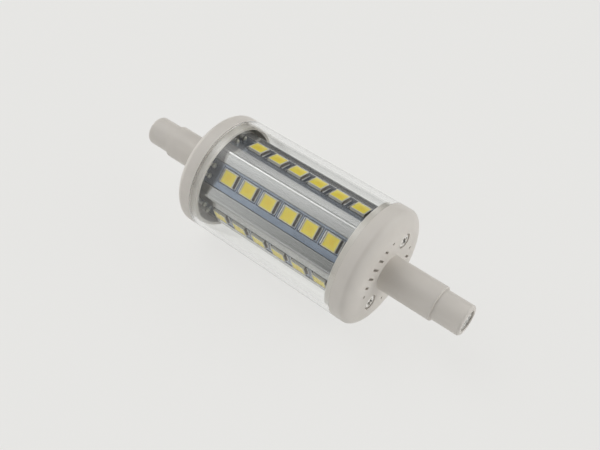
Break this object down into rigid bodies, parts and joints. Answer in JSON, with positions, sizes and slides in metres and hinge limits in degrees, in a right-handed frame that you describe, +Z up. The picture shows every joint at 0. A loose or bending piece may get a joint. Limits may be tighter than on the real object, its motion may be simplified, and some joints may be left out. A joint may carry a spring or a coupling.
{
  "type": "linear led bulb",
  "caption": "Double-ended tubular LED lamp: clear tube over a hexagonal heat sink carrying rows of LEDs, with white end caps and recessed end contacts.",
  "frame": {"origin": "centre of the lamp on its axis, halfway between the two ends", "axes": "+X along the lamp's axis, +Z up as it lies in the picture, -Y towards the viewer's side"},
  "size_m": [0.078, 0.0244, 0.0244],
  "materials": {
    "cap_plastic": "satin moulded, off-white",
    "contact_metal": "plated, dull",
    "screw_steel": "plated",
    "lead_cover": "insulated wire",
    "clear_tube": "clear, polished",
    "sink_aluminium": "plain extruded, satin",
    "board_mask": "slate lacquer",
    "led_white": "moulded white",
    "led_phosphor": "yellow phosphor in clear resin",
    "solder": "bright solder",
    "wire_cover": "insulated wire",
    "sleeve_film": "thin insulating film",
    "driver_laminate": "glass laminate, green lacquer",
    "capacitor_sleeve": "shrink sleeve on a can",
    "ferrite": "sintered ferrite",
    "copper": "enamelled winding",
    "fuse_case": "moulded case",
    "chip_plastic": "moulded package"
  },
  "bodies": {
    "root": {"end_cap_left": "cap_plastic", "contact_left": "contact_metal", "cap_screws_left": "screw_steel", "lead_wire_left": "lead_cover", "end_cap_right": "cap_plastic", "contact_right": "contact_metal", "cap_screws_right": "screw_steel", "lead_wire_right": "lead_cover", "clear_tube": "clear_tube", "heat_sink": "sink_aluminium", "led_board_1": "board_mask", "led_housings_1": "led_white", "led_phosphors_1": "led_phosphor", "led_board_2": "board_mask", "led_housings_2": "led_white", "led_phosphors_2": "led_phosphor", "led_board_3": "board_mask", "led_housings_3": "led_white", "led_phosphors_3": "led_phosphor", "led_board_4": "board_mask", "led_housings_4": "led_white", "led_phosphors_4": "led_phosphor", "led_board_5": "board_mask", "led_housings_5": "led_white", "led_phosphors_5": "led_phosphor", "led_board_6": "board_mask", "led_housings_6": "led_white", "led_phosphors_6": "led_phosphor", "solder_beads": "solder", "link_wires": "wire_cover", "feed_wires": "wire_cover", "insulating_sleeve": "sleeve_film", "driver_board": "driver_laminate", "smoothing_capacitor": "capacitor_sleeve", "inductor_core": "ferrite", "inductor_winding": "copper", "fuse": "fuse_case", "rectifier": "chip_plastic", "driver_chip": "chip_plastic"}
  },
  "joints": []
}
